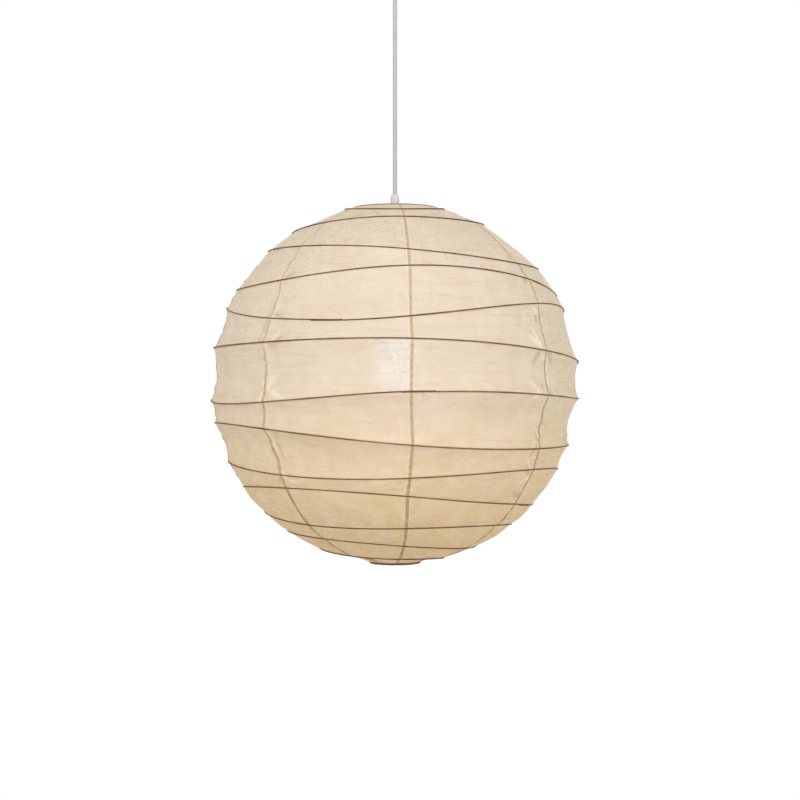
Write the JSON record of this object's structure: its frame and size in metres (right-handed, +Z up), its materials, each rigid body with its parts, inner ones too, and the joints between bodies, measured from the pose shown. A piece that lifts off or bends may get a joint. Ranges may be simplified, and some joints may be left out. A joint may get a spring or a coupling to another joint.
{
  "type": "pendant lantern",
  "caption": "Round paper pendant lantern on a cord, with thin cane ribs, open top and bottom rings, a lampholder with bulb, and a ceiling rose.",
  "frame": {"origin": "on the ceiling, at the middle of the bracket's top face and of its two screw holes", "axes": "+Z up, the lantern hangs along -Z; -Y is the front"},
  "size_m": [0.5006, 0.5016, 0.8416],
  "materials": {
    "bracket_steel": "zinc plated, satin",
    "rose_plastic": "moulded, fine grain",
    "screw_steel": "nickel plated",
    "grip_nylon": "moulded nylon",
    "cord_sheath": "smooth flexible sheath",
    "core_live": "thin insulation",
    "core_neutral": "thin insulation",
    "terminal_plastic": "natural nylon",
    "contact_brass": "dull",
    "frame_steel": "white coated wire",
    "ring_steel": "brown lacquered wire",
    "paper_fold": "glued fold, browned",
    "washi_paper": "fibrous, translucent",
    "rib_cane": "split cane, stained",
    "holder_plastic": "moulded",
    "insert_ceramic": "unglazed",
    "bulb_frosted": "frosted, dimly lit",
    "bulb_metal": "rolled thread",
    "bulb_black": "vitrified",
    "filament_glow": "glowing"
  },
  "bodies": {
    "ceiling_rose": {"ceiling_bracket": "bracket_steel", "rose_cup": "rose_plastic", "rose_screws": "screw_steel", "rose_cord_grip": "grip_nylon", "rose_grip_nut": "grip_nylon", "cord_tail": "cord_sheath", "rose_live_core": "core_live", "rose_neutral_core": "core_neutral", "terminal_block": "terminal_plastic", "terminal_screws": "contact_brass"},
    "pendant": {"cord": "cord_sheath", "cord_grip": "grip_nylon", "grip_stem": "grip_nylon", "hub_plate": "frame_steel", "grip_locknut": "grip_nylon", "bridge_wire_left": "frame_steel", "bridge_wire_right": "frame_steel", "leg_wire_left": "frame_steel", "leg_wire_right": "frame_steel", "top_ring": "ring_steel", "top_collar": "paper_fold", "lampholder_cap": "holder_plastic", "lampholder_body": "holder_plastic", "retaining_ring": "holder_plastic", "lampholder_insert": "insert_ceramic", "threaded_shell": "contact_brass", "centre_contact": "contact_brass", "lampholder_terminals": "contact_brass", "inner_live_core": "core_live", "inner_neutral_core": "core_neutral", "paper_gore_1": "washi_paper", "paper_gore_2": "washi_paper", "paper_gore_3": "washi_paper", "paper_gore_4": "washi_paper", "paper_gore_5": "washi_paper", "paper_gore_6": "washi_paper", "paper_gore_7": "washi_paper", "paper_gore_8": "washi_paper"},
    "lower_ring": {"bottom_ring": "ring_steel", "bottom_collar": "paper_fold"},
    "bulb": {"bulb_glass": "bulb_frosted", "bulb_base": "bulb_metal", "bulb_insulator": "bulb_black", "bulb_tip": "bulb_metal", "bulb_stem": "bulb_frosted", "bulb_filaments": "filament_glow"},
    "rib_hoop_01": {"rib_01": "rib_cane"},
    "rib_hoop_02": {"rib_02": "rib_cane"},
    "rib_hoop_03": {"rib_03": "rib_cane"},
    "rib_hoop_04": {"rib_04": "rib_cane"},
    "rib_hoop_05": {"rib_05": "rib_cane"},
    "rib_hoop_06": {"rib_06": "rib_cane"},
    "rib_hoop_07": {"rib_07": "rib_cane"},
    "rib_hoop_08": {"rib_08": "rib_cane"},
    "rib_hoop_09": {"rib_09": "rib_cane"},
    "rib_hoop_10": {"rib_10": "rib_cane"},
    "rib_hoop_11": {"rib_11": "rib_cane"},
    "rib_hoop_12": {"rib_12": "rib_cane"},
    "rib_hoop_13": {"rib_13": "rib_cane"}
  },
  "joints": [
    {"name": "pendant_swing", "type": "hinge", "parent": "ceiling_rose", "child": "pendant", "pos_m": [0, 0, -0.047], "axis": [0, 1, 0], "range_deg": [-15, 15]},
    {"name": "shade_collapse", "type": "slide", "parent": "pendant", "child": "lower_ring", "axis": [0, 0, 1], "range_m": [0, 0.44], "deforming": ["paper_gore_1", "paper_gore_2", "paper_gore_3", "paper_gore_4", "paper_gore_5", "paper_gore_6", "paper_gore_7", "paper_gore_8", "rib_01", "rib_02", "rib_03", "rib_04", "rib_05", "rib_06", "rib_07", "rib_08", "rib_09", "rib_10", "rib_11", "rib_12", "rib_13"]},
    {"name": "bulb_out", "type": "slide", "parent": "pendant", "child": "bulb", "axis": [0, 0, -1], "range_m": [0, 0.03]},
    {"name": "rib_01_lift", "type": "slide", "parent": "pendant", "child": "rib_hoop_01", "axis": [0, 0, 1], "range_m": [0, 0.0055]},
    {"name": "rib_02_lift", "type": "slide", "parent": "pendant", "child": "rib_hoop_02", "axis": [0, 0, 1], "range_m": [0, 0.0239]},
    {"name": "rib_03_lift", "type": "slide", "parent": "pendant", "child": "rib_hoop_03", "axis": [0, 0, 1], "range_m": [0, 0.0615]},
    {"name": "rib_04_lift", "type": "slide", "parent": "pendant", "child": "rib_hoop_04", "axis": [0, 0, 1], "range_m": [0, 0.0982]},
    {"name": "rib_05_lift", "type": "slide", "parent": "pendant", "child": "rib_hoop_05", "axis": [0, 0, 1], "range_m": [0, 0.1377]},
    {"name": "rib_06_lift", "type": "slide", "parent": "pendant", "child": "rib_hoop_06", "axis": [0, 0, 1], "range_m": [0, 0.179]},
    {"name": "rib_07_lift", "type": "slide", "parent": "pendant", "child": "rib_hoop_07", "axis": [0, 0, 1], "range_m": [0, 0.2276]},
    {"name": "rib_08_lift", "type": "slide", "parent": "pendant", "child": "rib_hoop_08", "axis": [0, 0, 1], "range_m": [0, 0.2868]},
    {"name": "rib_09_lift", "type": "slide", "parent": "pendant", "child": "rib_hoop_09", "axis": [0, 0, 1], "range_m": [0, 0.3263]},
    {"name": "rib_10_lift", "type": "slide", "parent": "pendant", "child": "rib_hoop_10", "axis": [0, 0, 1], "range_m": [0, 0.3552]},
    {"name": "rib_11_lift", "type": "slide", "parent": "pendant", "child": "rib_hoop_11", "axis": [0, 0, 1], "range_m": [0, 0.385]},
    {"name": "rib_12_lift", "type": "slide", "parent": "pendant", "child": "rib_hoop_12", "axis": [0, 0, 1], "range_m": [0, 0.4088]},
    {"name": "rib_13_lift", "type": "slide", "parent": "pendant", "child": "rib_hoop_13", "axis": [0, 0, 1], "range_m": [0, 0.4304]}
  ],
  "couplings": [
    {"joint": "rib_01_lift", "follows": "shade_collapse", "ratio": 0.01147},
    {"joint": "rib_02_lift", "follows": "shade_collapse", "ratio": 0.05318},
    {"joint": "rib_03_lift", "follows": "shade_collapse", "ratio": 0.13869},
    {"joint": "rib_04_lift", "follows": "shade_collapse", "ratio": 0.22211},
    {"joint": "rib_05_lift", "follows": "shade_collapse", "ratio": 0.31178},
    {"joint": "rib_06_lift", "follows": "shade_collapse", "ratio": 0.40563},
    {"joint": "rib_07_lift", "follows": "shade_collapse", "ratio": 0.51616},
    {"joint": "rib_08_lift", "follows": "shade_collapse", "ratio": 0.65068},
    {"joint": "rib_09_lift", "follows": "shade_collapse", "ratio": 0.74035},
    {"joint": "rib_10_lift", "follows": "shade_collapse", "ratio": 0.80605},
    {"joint": "rib_11_lift", "follows": "shade_collapse", "ratio": 0.87383},
    {"joint": "rib_12_lift", "follows": "shade_collapse", "ratio": 0.92805},
    {"joint": "rib_13_lift", "follows": "shade_collapse", "ratio": 0.97706}
  ]
}
